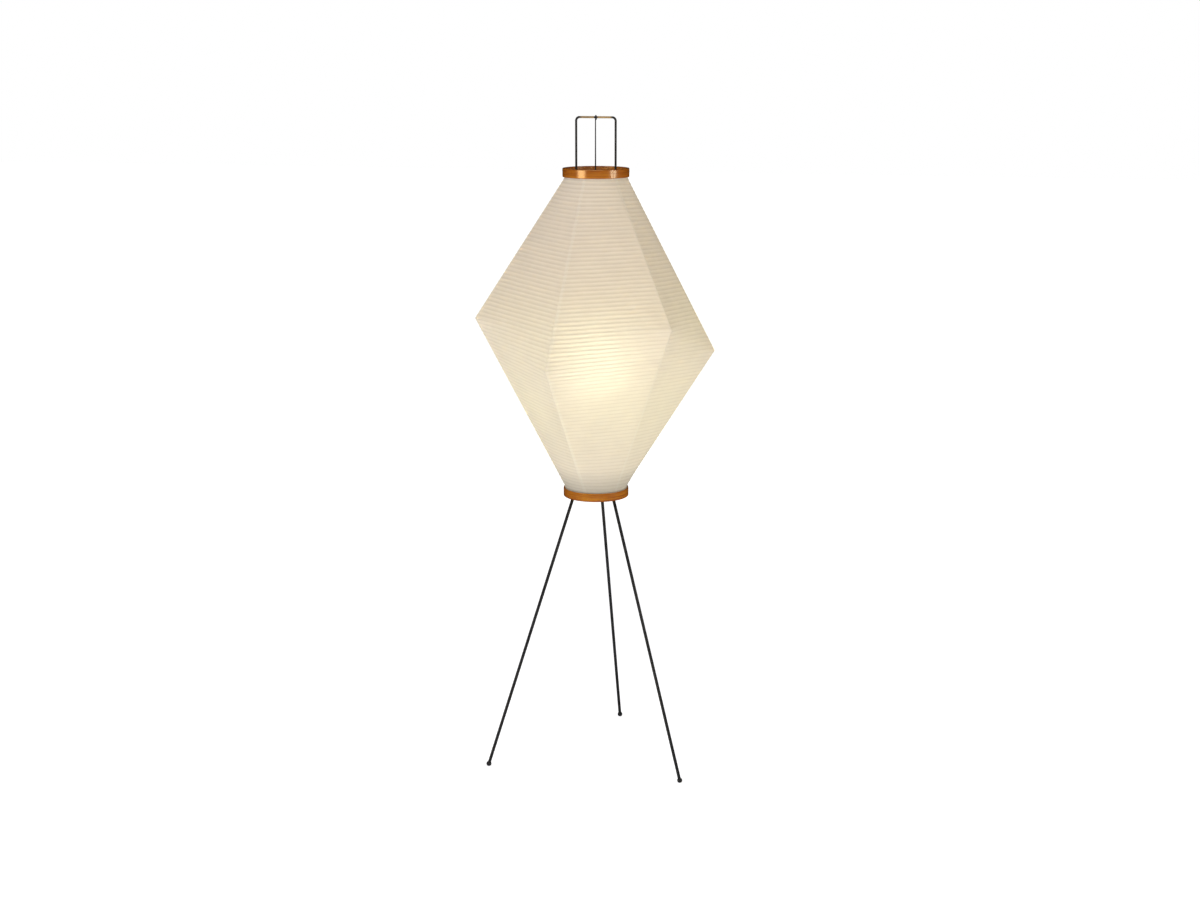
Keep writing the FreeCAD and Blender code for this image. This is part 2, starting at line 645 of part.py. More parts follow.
def make_paper():
    """Six paper gores, ridge to ridge, each with a neck that is pasted inside the hoops."""
    wall = size("paper_wall")
    neck = size("neck_lap") + size("neck_stand")
    for ridge in range(RIDGES):
        sections = [gore_section(ridge, 0, neck, wall), gore_section(ridge, 0, 0, wall),
                    gore_section(ridge, short_run, 0, wall), gore_section(ridge, long_run, 0, wall),
                    gore_section(ridge, ridge_total, 0, wall), gore_section(ridge, ridge_total, -neck, wall)]
        shape = Part.makeLoft(sections, True, True)
        name = f"paper_gore_{ridge + 1}"
        keep(feature(name, shape), name)


def smooth_corner(first, first_along, last, last_along):
    """Two arcs that carry a path from one point and direction to another."""
    gap = last - first
    both = first_along + last_along
    spread = 2 * (1 - first_along.dot(last_along))
    ahead = gap.dot(both)
    reach = (math.sqrt(ahead ** 2 + spread * gap.dot(gap)) - ahead) / spread
    knees = [first + first_along * reach, last - last_along * reach]
    joint = (knees[0] + knees[1]) * 0.5
    arcs = []
    for start, knee, end in ((first, knees[0], joint), (joint, knees[1], last)):
        half = (knee - start).getAngle(end - knee) / 2
        weight = math.cos(half)
        middle = (start + end + knee * (2 * weight)) * (1 / (2 + 2 * weight))
        arcs.append(Part.Arc(start, middle, end))
    return arcs


def rib_runs():
    """The rib's run across each facet in turn, without the bends on the ridges."""
    turns = int(round(size("rib_turns")))
    pitch = (ridge_total - 2 * size("rib_margin")) / turns
    runs = []
    for step in range(turns * RIDGES):
        along = [size("rib_margin") + pitch * (step + extra) / RIDGES for extra in (0, 1)]
        first = ridge_point(step % RIDGES, along[0], rib_inset)
        last = ridge_point((step + 1) % RIDGES, along[1], rib_inset)
        arc = bowed_arc(first, last, facet_bow(sum(along) / 2, rib_inset))
        trim = size("rib_corner") / arc.length() * (arc.LastParameter - arc.FirstParameter)
        runs.append(arc.trim(arc.FirstParameter + trim, arc.LastParameter - trim))
    return runs


def make_rib():
    """One bamboo rib wound from hoop to hoop, bent round each ridge."""
    curves = []
    runs = rib_runs()
    for run, following in zip(runs, runs[1:] + [None]):
        curves.append(run)
        if following is None:
            break
        start, end = run.LastParameter, following.FirstParameter
        curves += smooth_corner(run.value(start), run.tangent(start)[0],
                                following.value(end), following.tangent(end)[0])
    edges = [curve.toShape() for curve in curves]
    shape = strip_solid(edges, size("rib_side"))
    length = sum(edge.Length for edge in edges)
    print("rib length", round(length), "volume over section times length",
          round(shape.Volume / (size("rib_side") ** 2 * length), 4))
    gaps = []
    for run, next_turn in zip(runs, runs[RIDGES:]):
        middle = run.value((run.FirstParameter + run.LastParameter) / 2)
        gaps.append(next_turn.toShape().distToShape(Part.Vertex(middle))[0])
    print("least gap between turns of the rib", round(min(gaps) - size("rib_side") * math.sqrt(2), 2))
    keep(feature("bamboo_rib", shape), "bamboo_rib")


make_legs()
make_hub()
make_saddle()
make_frame()
make_stem()
make_holder()
make_bulb()
make_hanger()
make_lower_hoop()
make_paper()
make_rib()
doc.recompute()

for thing in doc.Objects:
    if "Invalid" in thing.State or "Error" in thing.State:
        raise RuntimeError(f"{thing.Label} did not build: {thing.State}")
for piece in pieces:
    shape = piece.Shape
    if shape.isNull() or not shape.isValid() or not shape.Solids or shape.Volume <= 0:
        raise RuntimeError(f"{piece.Label} has no valid solid")

os.makedirs("parts", exist_ok=True)
for piece in pieces:
    piece.Shape.exportStep(f"parts/{piece.Label}.step")
    print(piece.Label, len(piece.Shape.Solids), "solids", round(piece.Shape.Volume, 1), "mm3")
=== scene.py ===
import bpy
import bmesh
import json
import math
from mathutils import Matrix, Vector


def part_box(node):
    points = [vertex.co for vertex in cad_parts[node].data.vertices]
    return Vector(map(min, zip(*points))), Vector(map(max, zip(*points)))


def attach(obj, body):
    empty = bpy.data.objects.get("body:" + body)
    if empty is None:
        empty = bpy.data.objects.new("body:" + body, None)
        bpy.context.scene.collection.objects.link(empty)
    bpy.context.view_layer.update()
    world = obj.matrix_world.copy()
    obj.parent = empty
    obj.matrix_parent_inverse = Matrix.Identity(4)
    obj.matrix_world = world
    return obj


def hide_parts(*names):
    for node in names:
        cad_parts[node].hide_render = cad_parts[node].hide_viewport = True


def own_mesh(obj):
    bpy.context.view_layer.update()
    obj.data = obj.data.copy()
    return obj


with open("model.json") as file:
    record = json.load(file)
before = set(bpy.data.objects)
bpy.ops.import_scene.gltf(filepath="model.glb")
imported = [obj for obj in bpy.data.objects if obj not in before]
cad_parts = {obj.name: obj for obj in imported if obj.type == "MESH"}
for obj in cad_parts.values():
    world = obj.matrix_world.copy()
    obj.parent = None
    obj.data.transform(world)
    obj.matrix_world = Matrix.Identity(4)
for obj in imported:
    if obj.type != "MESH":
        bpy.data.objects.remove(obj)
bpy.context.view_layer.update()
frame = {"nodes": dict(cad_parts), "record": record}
scene = bpy.context.scene
nodes = frame["nodes"]
print("frame loaded with", len(nodes), "nodes")

viewSettings = {
    "place": (0.9702, -4.1365, 1.66506),  # metres from the floor under the lamp
    "tilt": 77.754,                       # degrees up from straight down
    "turn": 13.076,
    "lens": 56.51,                        # millimetres, like the sensor's width
    "sensor": 36.0,
    "reach": 100.0,
}


def makeCamera(settings):
    data = bpy.data.cameras.new("lampView")
    data.sensor_fit = "HORIZONTAL"
    data.sensor_width = settings["sensor"]
    data.lens = settings["lens"]
    data.clip_end = settings["reach"]
    camera = bpy.data.objects.new("lampView", data)
    camera.location = settings["place"]
    camera.rotation_euler = (
        math.radians(settings["tilt"]), 0.0, math.radians(settings["turn"]))
    scene.collection.objects.link(camera)
    scene.camera = camera


makeCamera(viewSettings)
print("camera placed")


# node helpers: a wire is a node's output that can be used in a sum

def feed(tree, source, socket):
    if isinstance(source, Wire):
        tree.links.new(source.socket, socket)
    elif isinstance(source, bpy.types.NodeSocket):
        tree.links.new(source, socket)
    else:
        socket.default_value = source


noiseSpan = (0.3, 0.7)  # most values of a noise lie in here


class Wire:
    def __init__(self, tree, socket):
        self.tree = tree
        self.socket = socket

    def maths(self, operation, *others, first=None):
        node = self.tree.nodes.new("ShaderNodeMath")
        node.operation = operation
        sources = (self,) + others if first is None else (first, self)
        for source, socket in zip(sources, node.inputs):
            feed(self.tree, source, socket)
        return Wire(self.tree, node.outputs[0])

    def __add__(self, other):
        return self.maths("ADD", other)

    def __sub__(self, other):
        return self.maths("SUBTRACT", other)

    def __mul__(self, other):
        return self.maths("MULTIPLY", other)

    def __truediv__(self, other):
        return self.maths("DIVIDE", other)

    def takenFrom(self, first):
        return self.maths("SUBTRACT", first=first)

    def arch(self):
        # from 0 at 0 up to 1 at a half, and back to 0 at 1
        return self * self.takenFrom(1.0) * 4.0

    def spread(self, fromLow, fromHigh, toLow, toHigh, smooth=False):
        node = self.tree.nodes.new("ShaderNodeMapRange")
        node.interpolation_type = "SMOOTHSTEP" if smooth else "LINEAR"
        for source, socket in zip((self, fromLow, fromHigh, toLow, toHigh), node.inputs):
            feed(self.tree, source, socket)
        return Wire(self.tree, node.outputs[0])

    def fromNoise(self, toLow, toHigh):
        return self.spread(*noiseSpan, toLow, toHigh)

    def part(self, axis):
        node = self.tree.nodes.new("ShaderNodeSeparateXYZ")
        feed(self.tree, self, node.inputs[0])
        return Wire(self.tree, node.outputs[axis])

    def vector(self, operation, *others):
        node = self.tree.nodes.new("ShaderNodeVectorMath")
        node.operation = operation
        for source, socket in zip((self,) + others, node.inputs):
            feed(self.tree, source, socket)
        scalar = operation in ("LENGTH", "DOT_PRODUCT", "DISTANCE")
        return Wire(self.tree, node.outputs["Value" if scalar else "Vector"])


def addNode(tree, kind, sources=None, **settings):
    node = tree.nodes.new(kind)
    for name, value in settings.items():
        setattr(node, name, value)
    for name, source in (sources or {}).items():
        feed(tree, source, node.inputs[name])
    return node


def joinXyz(tree, x, y, z):
    node = addNode(tree, "ShaderNodeCombineXYZ", {"X": x, "Y": y, "Z": z})
    return Wire(tree, node.outputs[0])


def scaled(tree, vector, factor):
    node = addNode(tree, "ShaderNodeVectorMath", operation="SCALE")
    feed(tree, vector, node.inputs[0])
    feed(tree, factor, node.inputs["Scale"])
    return Wire(tree, node.outputs["Vector"])


# the white room: a pale floor, an even sky, soft panels, and three that only shine in the lacquer

roomSettings = {
    "floorSize": 40.0,
    "floorTone": 0.88,
    "floorRoughness": 0.9,
    "floorGloss": 0.1,
    "floorGlowNear": 0.61,  # added light of the floor under the lamp
    "floorGlowFar": 0.78,
    "floorNear": 0.5,       # metres from the lamp
    "floorFar": 5.0,
    "skySeen": 1.0,
    "skyLight": 0.495,
    "skyMirrored": 0.012,   # what gloss picks up of the sky and the floor
    "mirroredTint": (1.0, 0.86, 0.62),
    "panels": {
        "leftPanel": {"place": (-2.25, -2.95, 2.1), "size": (0.7, 2.1), "power": 20.0,
                      "colour": (0.90, 0.97, 1.40), "lights": "visible_diffuse"},
        "rightPanel": {"place": (3.55, -0.95, 1.25), "size": (0.5, 2.1), "power": 13.0,
                       "colour": (1.0, 1.0, 1.0), "lights": "visible_diffuse"},
        "frontPanel": {"place": (0.3, -3.6, 3.6), "size": (2.0, 1.2), "power": 35.5,
                       "colour": (1.0, 1.0, 0.90), "lights": "visible_diffuse"},
        "lowPanel": {"place": (0.9, -3.4, 0.5), "size": (1.2, 0.6), "power": 12.0,
                     "colour": (1.0, 1.0, 1.1), "lights": "visible_diffuse"},
        "leftShine": {"place": (-2.25, -2.95, 1.25), "size": (1.7, 1.2), "power": 38.0,
                      "colour": (1.0, 0.68, 0.30), "lights": "visible_glossy"},
        "rightShine": {"place": (3.55, -0.95, 1.25), "size": (0.9, 1.2), "power": 33.0,
                       "colour": (1.0, 0.88, 0.60), "lights": "visible_glossy"},
        "topShine": {"place": (0.2, -0.6, 4.2), "size": (2.0, 2.0), "power": 40.0,
                     "colour": (1.0, 0.84, 0.62), "lights": "visible_glossy"},
    },
    "panelAim": (0.0, 0.0, 1.0),
}


def mixShaders(tree, share, first, second):
    node = addNode(tree, "ShaderNodeMixShader", {"Fac": share})
    tree.links.new(first.outputs[0], node.inputs[1])
    tree.links.new(second.outputs[0], node.inputs[2])
    return node


def makeAreaLight(name, settings, place, aim, hiddenFrom):
    data = bpy.data.lights.new(name, "AREA")
    data.shape = "RECTANGLE"
    data.size, data.size_y = settings["size"]
    data.energy = settings["power"]
    data.color = settings["colour"]
    lamp = bpy.data.objects.new(name, data)
    lamp.location = place
    lamp.rotation_euler = aim.to_track_quat("-Z", "Y").to_euler()
    for use in hiddenFrom:
        setattr(lamp, use, False)
    scene.collection.objects.link(lamp)


def makeFloor(settings):
    half = settings["floorSize"] / 2
    mesh = bpy.data.meshes.new("paleFloor")
    corners = [(-half, -half, 0), (half, -half, 0), (half, half, 0), (-half, half, 0)]
    mesh.from_pydata(corners, [], [(0, 1, 2, 3)])
    floor = bpy.data.objects.new("paleFloor", mesh)
    scene.collection.objects.link(floor)
    paint = bpy.data.materials.new("floorPaint")
    paint.use_nodes = True
    tree = paint.node_tree
    shader = tree.nodes["Principled BSDF"]
    tone = settings["floorTone"]
    shader.inputs["Base Color"].default_value = (tone, tone, tone, 1)
    shader.inputs["Roughness"].default_value = settings["floorRoughness"]
    shader.inputs["Specular IOR Level"].default_value = settings["floorGloss"]
    shader.inputs["Emission Strength"].default_value = 1.0
    coords = Wire(tree, addNode(tree, "ShaderNodeTexCoord").outputs["Object"])
    glow = coords.vector("LENGTH").spread(
        settings["floorNear"], settings["floorFar"],
        settings["floorGlowNear"], settings["floorGlowFar"], smooth=True)
    feed(tree, joinXyz(tree, glow, glow, glow), shader.inputs["Emission Color"])
    path = addNode(tree, "ShaderNodeLightPath")
    dim = addNode(tree, "ShaderNodeEmission", {
        "Color": (*settings["mirroredTint"], 1), "Strength": settings["skyMirrored"]})
    both = mixShaders(tree, path.outputs["Is Glossy Ray"], shader, dim)
    tree.links.new(both.outputs[0], tree.nodes["Material Output"].inputs["Surface"])
    mesh.materials.append(paint)


def makeSky(settings):
    world = bpy.data.worlds.new("whiteRoom")
    world.use_nodes = True
    tree = world.node_tree
    tree.nodes.clear()
    path = addNode(tree, "ShaderNodeLightPath")
    white = (1.0, 1.0, 1.0)
    skies = (("skyLight", white), ("skyMirrored", settings["mirroredTint"]), ("skySeen", white))
    lit, mirrored, seen = (
        addNode(tree, "ShaderNodeBackground", {"Color": (*colour, 1), "Strength": settings[name]})
        for name, colour in skies)
    around = mixShaders(tree, path.outputs["Is Glossy Ray"], lit, mirrored)
    whole = mixShaders(tree, path.outputs["Is Camera Ray"], around, seen)
    addNode(tree, "ShaderNodeOutputWorld", {"Surface": whole.outputs[0]})
    scene.world = world


def makePanels(settings):
    uses = ("visible_camera", "visible_diffuse", "visible_glossy", "visible_transmission")
    for name, panel in settings["panels"].items():
        aim = Vector(settings["panelAim"]) - Vector(panel["place"])
        makeAreaLight(name, panel, panel["place"], aim, [use for use in uses if use != panel["lights"]])


def setPlainView():
    scene.view_settings.view_transform = "Standard"
    scene.view_settings.look = "None"
    scene.view_settings.exposure = 0.0
    scene.view_settings.gamma = 1.0


makeFloor(roomSettings)
makeSky(roomSettings)
makePanels(roomSettings)
setPlainView()
print("room and lights made")


# finishes

def startFinish(name):
    finish = bpy.data.materials.new(name)
    finish.use_nodes = True
    tree = finish.node_tree
    shader = tree.nodes["Principled BSDF"]
    coords = addNode(tree, "ShaderNodeTexCoord").outputs["Object"]
    return finish, tree, shader, Wire(tree, coords)


def noise(tree, vector, scale, detail=2.0, rough=0.5, bend=0.0):
    node = addNode(tree, "ShaderNodeTexNoise", {
        "Vector": vector, "Scale": scale, "Detail": detail, "Roughness": rough, "Distortion": bend})
    return Wire(tree, node.outputs[0])


def ramp(tree, source, stops):
    node = addNode(tree, "ShaderNodeValToRGB", {"Fac": source})
    band = node.color_ramp.elements
    while len(band) < len(stops):
        band.new(0.5)
    for stop, (place, colour) in zip(band, stops):
        stop.position = place
        stop.color = (*colour, 1.0)
    return Wire(tree, node.outputs["Color"])


def blended(tree, share, first, second, way="MIX"):
    # a mix of colours has its inputs at 0, 6 and 7 and its output at 2
    node = addNode(tree, "ShaderNodeMix", data_type="RGBA", blend_type=way)
    for socket, source in ((node.inputs[0], share), (node.inputs[6], first), (node.inputs[7], second)):
        if isinstance(source, tuple) and len(source) == 3:
            source = (*source, 1.0)
        feed(tree, source, socket)
    return Wire(tree, node.outputs[2])


def bump(tree, shader, height, strength, depth):
    node = addNode(tree, "ShaderNodeBump", {"Height": height, "Strength": strength, "Distance": depth})
    tree.links.new(node.outputs[0], shader.inputs["Normal"])


def makeVariationGroup():
    # patches of handling and a fine grain, shared by every hard finish
    group = bpy.data.node_groups.new("surfaceVariation", "ShaderNodeTree")
    for title, kind in (("Vector", "NodeSocketVector"), ("Patch Scale", "NodeSocketFloat"),
                        ("Grain Scale", "NodeSocketFloat")):
        group.interface.new_socket(name=title, in_out="INPUT", socket_type=kind)
    for title in ("Patch", "Grain", "Scuff"):
        group.interface.new_socket(name=title, in_out="OUTPUT", socket_type="NodeSocketFloat")
    entry = addNode(group, "NodeGroupInput").outputs
    patch = noise(group, entry["Vector"], entry["Patch Scale"], 4.0, 0.6)
    grain = noise(group, entry["Vector"], entry["Grain Scale"], 3.0, 0.55)
    scuff = (patch * grain).spread(0.32, 0.46, 0.0, 1.0, smooth=True)
    addNode(group, "NodeGroupOutput", {"Patch": patch, "Grain": grain, "Scuff": scuff})
    return group


variationGroup = makeVariationGroup()


def variation(tree, vector, patchScale, grainScale):
    node = addNode(tree, "ShaderNodeGroup", node_tree=variationGroup)
    for title, source in (("Vector", vector), ("Patch Scale", patchScale), ("Grain Scale", grainScale)):
        feed(tree, source, node.inputs[title])
    return [Wire(tree, node.outputs[title]) for title in ("Patch", "Grain", "Scuff")]


hardFinishShared = {
    "scuffShare": 0.5,
    "patchDull": 0.6,  # what the patches and the grain add to the roughness
    "grainDull": 0.4,
    "gloss": 0.5,      # where a finish doesn't set its own
    "coatRoughness": 0.15,
    "bumpDepth": 0.0002,
}

hardFinishes = {
    "black_lacquered_steel": {
        "dark": (0.014, 0.014, 0.015), "light": (0.026, 0.026, 0.028), "scuff": (0.04, 0.04, 0.042),
        "metal": 0.0, "smooth": 0.34, "dull": 0.46, "patch": 22.0, "grain": 900.0,
        "bump": 0.12, "coat": 0.0, "gloss": 0.25,
        # painted reflection of the bulb's warm light, laid on the crossbar as a brown tone
        "paintedBulbReflection": {"colour": (0.36, 0.235, 0.10), "height": 1.4968, "hook": 0.003, "bend": 0.038,
                   "hookEdge": 0.002, "bendEdge": 0.006, "heightEdge": 0.001,
                   "patches": (0.3, 0.55), "least": 0.55}},
    "bright_steel": {
        "dark": (0.40, 0.40, 0.40), "light": (0.60, 0.60, 0.59), "scuff": (0.30, 0.29, 0.28),
        "metal": 0.45, "smooth": 0.24, "dull": 0.40, "patch": 60.0, "grain": 1400.0,
        "bump": 0.08, "coat": 0.0},
    "brass": {
        "dark": (0.52, 0.36, 0.14), "light": (0.74, 0.55, 0.25), "scuff": (0.36, 0.24, 0.10),
        "metal": 0.45, "smooth": 0.22, "dull": 0.38, "patch": 70.0, "grain": 1200.0,
        "bump": 0.08, "coat": 0.0},
    "black_plastic": {
        "dark": (0.014, 0.014, 0.014), "light": (0.032, 0.031, 0.030), "scuff": (0.07, 0.068, 0.064),
        "metal": 0.0, "smooth": 0.36, "dull": 0.52, "patch": 55.0, "grain": 1600.0,
        "bump": 0.10, "coat": 0.0},
    "white_ceramic": {
        "dark": (0.74, 0.72, 0.67), "light": (0.84, 0.83, 0.79), "scuff": (0.62, 0.59, 0.52),
        "metal": 0.0, "smooth": 0.16, "dull": 0.30, "patch": 90.0, "grain": 900.0,
        "bump": 0.05, "coat": 0.4},
    "bulb_cap_metal": {
        "dark": (0.58, 0.58, 0.59), "light": (0.78, 0.78, 0.79), "scuff": (0.42, 0.42, 0.42),
        "metal": 0.45, "smooth": 0.20, "dull": 0.36, "patch": 90.0, "grain": 1500.0,
        "bump": 0.06, "coat": 0.0},
    "white_plastic": {
        "dark": (0.80, 0.79, 0.76), "light": (0.88, 0.88, 0.86), "scuff": (0.70, 0.68, 0.63),
        "metal": 0.0, "smooth": 0.28, "dull": 0.40, "patch": 70.0, "grain": 1800.0,
        "bump": 0.05, "coat": 0.1},
    "light_board": {
        "dark": (0.76, 0.76, 0.72), "light": (0.86, 0.86, 0.83), "scuff": (0.64, 0.63, 0.58),
        "metal": 0.0, "smooth": 0.40, "dull": 0.55, "patch": 120.0, "grain": 1200.0,
        "bump": 0.05, "coat": 0.0},
}


def makeHardFinish(name, look, shared):
    finish, tree, shader, coords = startFinish(name)
    patch, grain, scuff = variation(tree, coords, look["patch"], look["grain"])
    tone = blended(tree, patch.fromNoise(0.0, 1.0), look["dark"], look["light"])
    tone = blended(tree, scuff * shared["scuffShare"], tone, look["scuff"])
    paintedBulbReflection = look.get("paintedBulbReflection")
    if paintedBulbReflection:
        # painted reflection: the bulb's warm light on the frame's crossbar, drawn in brown between the hook
        # and the bends
        side = coords.part(0).maths("ABSOLUTE")
        pastHook = side.spread(paintedBulbReflection["hook"], paintedBulbReflection["hook"] + paintedBulbReflection["hookEdge"], 0.0, 1.0)
        beforeBend = side.spread(paintedBulbReflection["bend"] - paintedBulbReflection["bendEdge"], paintedBulbReflection["bend"], 1.0, 0.0)
        high = coords.part(2).spread(paintedBulbReflection["height"], paintedBulbReflection["height"] + paintedBulbReflection["heightEdge"], 0.0, 1.0)
        reflectionPatches = patch.spread(*paintedBulbReflection["patches"], paintedBulbReflection["least"], 1.0)
        tone = blended(tree, pastHook * beforeBend * high * reflectionPatches, tone, paintedBulbReflection["colour"])
    feed(tree, tone, shader.inputs["Base Color"])
    dull = patch * shared["patchDull"] + grain * shared["grainDull"]
    feed(tree, dull.fromNoise(look["smooth"], look["dull"]), shader.inputs["Roughness"])
    shader.inputs["Metallic"].default_value = look["metal"]
    shader.inputs["Specular IOR Level"].default_value = look.get("gloss", shared["gloss"])
    shader.inputs["Coat Weight"].default_value = look["coat"]
    shader.inputs["Coat Roughness"].default_value = shared["coatRoughness"]
    bump(tree, shader, grain, look["bump"], shared["bumpDepth"])
    return finish


woodSettings = {
    "dark": (0.17, 0.030, 0.001),
    "middle": (0.35, 0.100, 0.001),
    "light": (0.53, 0.20, 0.003),
    "stops": (0.37, 0.50, 0.63),  # places of the three on the grain's scale
    "grainAcross": 420.0,         # streaks per metre across the strip
    "grainThrough": 714.0,        # and through its wall
    "grainAlong": 9.0,
    "grainRadius": 0.075,
    "fineScale": 3.6,
    "patch": 10.0,
    "grain": 700.0,
    "scuffShare": 0.25,
    "innerRadius": 0.0733,        # the strip's inner side is darkened: painted shade inside the hoop
    "innerEdge": 0.0005,
    "innerShade": 0.45,
    "smooth": 0.26,
    "dull": 0.42,
    "gloss": 0.03,
    "glossTint": (1.0, 0.72, 0.40, 1.0),
    "coatRoughness": 0.20,
    "coatIor": 2.1,
    "coatTint": (1.0, 0.94, 0.82, 1.0),
    "bump": 0.18,
    "bumpDepth": 0.0003,
}


def makeAmberWood(look):
    finish, tree, shader, coords = startFinish("amberWood")
    x, y, z = (coords.part(axis) for axis in range(3))
    radius = joinXyz(tree, x, y, 0.0).vector("LENGTH")
    angle = y.maths("ARCTAN2", x)
    along = look["grainRadius"] * look["grainAlong"]
    across = z * look["grainAcross"] + radius * look["grainThrough"]
    roundCoords = joinXyz(tree, angle.maths("COSINE") * along, angle.maths("SINE") * along, across)
    streak = noise(tree, roundCoords, 1.0, 5.0, 0.62, 0.4)
    fine = noise(tree, roundCoords, look["fineScale"], 3.0, 0.6, 0.2)
    patch, _, scuff = variation(tree, coords, look["patch"], look["grain"])
    mixed = streak * 0.5 + fine * 0.18 + patch * 0.32
    tones = (look["dark"], look["middle"], look["light"])
    tone = ramp(tree, mixed, list(zip(look["stops"], tones)))
    tone = blended(tree, scuff * look["scuffShare"], tone, look["dark"])
    # painted shade: the hoop's inner side blended towards the dark tone
    inner = radius.spread(look["innerRadius"] - look["innerEdge"], look["innerRadius"] + look["innerEdge"],
                          look["innerShade"], 0.0)
    feed(tree, blended(tree, inner, tone, look["dark"]), shader.inputs["Base Color"])
    dull = fine * 0.5 + patch * 0.5
    feed(tree, dull.fromNoise(look["smooth"], look["dull"]), shader.inputs["Roughness"])
    shader.inputs["Specular IOR Level"].default_value = look["gloss"]
    shader.inputs["Specular Tint"].default_value = look["glossTint"]
    shader.inputs["Coat Weight"].default_value = 1.0
    shader.inputs["Coat Roughness"].default_value = look["coatRoughness"]
    shader.inputs["Coat IOR"].default_value = look["coatIor"]
    shader.inputs["Coat Tint"].default_value = look["coatTint"]
    bump(tree, shader, streak * 0.7 + fine * 0.3, look["bump"], look["bumpDepth"])
    return finish


bambooSettings = {
    "dark": (0.50, 0.37, 0.20),
    "light": (0.78, 0.64, 0.42),
    "patch": 30.0,
    "grain": 1500.0,
    "scuffShare": 0.4,
    "smooth": 0.45,
    "dull": 0.65,
    "bump": 0.15,
    "bumpDepth": 0.0002,
}


def makeBamboo(look):
    finish, tree, shader, coords = startFinish("splitBamboo")
    patch, grain, scuff = variation(tree, coords, look["patch"], look["grain"])
    mixed = patch * 0.5 + grain * 0.5
    tone = blended(tree, mixed.fromNoise(0.0, 1.0), look["dark"], look["light"])
    tone = blended(tree, scuff * look["scuffShare"], tone, look["dark"])
    feed(tree, tone, shader.inputs["Base Color"])
    feed(tree, grain.fromNoise(look["smooth"], look["dull"]), shader.inputs["Roughness"])
    bump(tree, shader, grain, look["bump"], look["bumpDepth"])
    return finish


opalSettings = {
    "colour": (0.90, 0.87, 0.80),
    "rimGlow": (0.42, 0.25, 0.10),
    "crownGlow": (0.62, 0.50, 0.30),
    "crownStart": 0.4,  # share of the dome's height at which the crown's glow is full
    "strength": 1.0,
    "patch": 40.0,
    "grain": 1500.0,
    "mottle": 0.3,
    "smooth": 0.3,
    "dull": 0.45,
    "bump": 0.05,
    "bumpDepth": 0.0002,
}


def makeOpal(look):
    finish, tree, shader, coords = startFinish("opalDome")
    low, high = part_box("bulb_dome")
    patch, grain, _ = variation(tree, coords, look["patch"], look["grain"])
    tone = blended(tree, patch.fromNoise(0.0, look["mottle"]), look["colour"], look["crownGlow"])
    feed(tree, tone, shader.inputs["Base Color"])
    crown = low.z + look["crownStart"] * (high.z - low.z)
    rise = coords.part(2).spread(low.z, crown, 0.0, 1.0, smooth=True)
    feed(tree, blended(tree, rise, look["rimGlow"], look["crownGlow"]), shader.inputs["Emission Color"])
    shader.inputs["Emission Strength"].default_value = look["strength"]
    feed(tree, grain.fromNoise(look["smooth"], look["dull"]), shader.inputs["Roughness"])
    bump(tree, shader, grain, look["bump"], look["bumpDepth"])
    return finish


# sizes of the paper lantern, in metres, as the frame's paper has them

upperHoopLow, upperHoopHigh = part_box("upper_hoop")
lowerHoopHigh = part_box("lower_hoop")[1]

lanternSettings = {
    "ridges": 6,
    "hoopWall": 0.0035,
    "neckGap": 0.0003,    # between neck and hoop
    "neckStand": 0.002,   # straight neck that shows beside a hoop
    "neckLength": 0.008,  # straight neck in all
    "shoulder": 0.314,    # hoop to the nearer belt corners
    "beltRadius": 0.2753,
    "beltBow": 0.002,
    "beltEase": 0.045,    # the belt's crease softens over this run, halfway between two ridges
    "turn": 19.55,        # degrees from the lamp's right-hand side to the first ridge
    "ribMargin": 0.006,
    "ribTurns": 80,
}


def lanternSizes(settings):
    neckRadius = upperHoopHigh.x - settings["hoopWall"] - settings["neckGap"]
    neckTop = upperHoopLow.z - settings["neckStand"]
    neckBottom = lowerHoopHigh.z + settings["neckStand"]
    highCorner = upperHoopLow.z - settings["shoulder"]
    lowCorner = lowerHoopHigh.z + settings["shoulder"]
    spread = settings["beltRadius"] - neckRadius
    shortRun = math.hypot(spread, neckTop - highCorner)
    longRun = math.hypot(spread, neckTop - lowCorner)
    ribPitch = (shortRun + longRun - 2 * settings["ribMargin"]) / settings["ribTurns"]
    return {
        "Neck Radius": neckRadius, "Belt Radius": settings["beltRadius"],
        "Neck Top": neckTop, "Neck Bottom": neckBottom,
        "High Corner": highCorner, "Low Corner": lowCorner,
        "Short Run": shortRun, "Long Run": longRun, "Whole Run": shortRun + longRun,
        "Belt Bow": settings["beltBow"], "Belt Ease": settings["beltEase"],
        "First Ridge": math.radians(settings["turn"]),
        "Neck Length": settings["neckLength"],
        "Rib Margin": settings["ribMargin"], "Rib Pitch": ribPitch,
    }


lantern = lanternSizes(lanternSettings)
ridgeAngle = 2 * math.pi / lanternSettings["ridges"]
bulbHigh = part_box("bulb_dome")[1]


# the bulb's own light: six panels that stand round the dome and face the paper

bulbLightSettings = {
    "sides": 6,
    "radius": bulbHigh.x + 0.003,
    "height": bulbHigh.z + 0.005,
    "size": (0.034, 0.05),
    "power": 0.170,
    "colour": (0.86, 1.0, 0.78),
}


def makeBulbLight(settings):
    for side in range(settings["sides"]):
        angle = 2 * math.pi * side / settings["sides"]
        out = Vector((math.cos(angle), math.sin(angle), 0.0))
        place = out * settings["radius"] + Vector((0.0, 0.0, settings["height"]))
        makeAreaLight(f"bulbLight{side + 1}", settings, place, out, ["visible_camera", "visible_glossy"])


makeBulbLight(bulbLightSettings)
print("bulb lit")

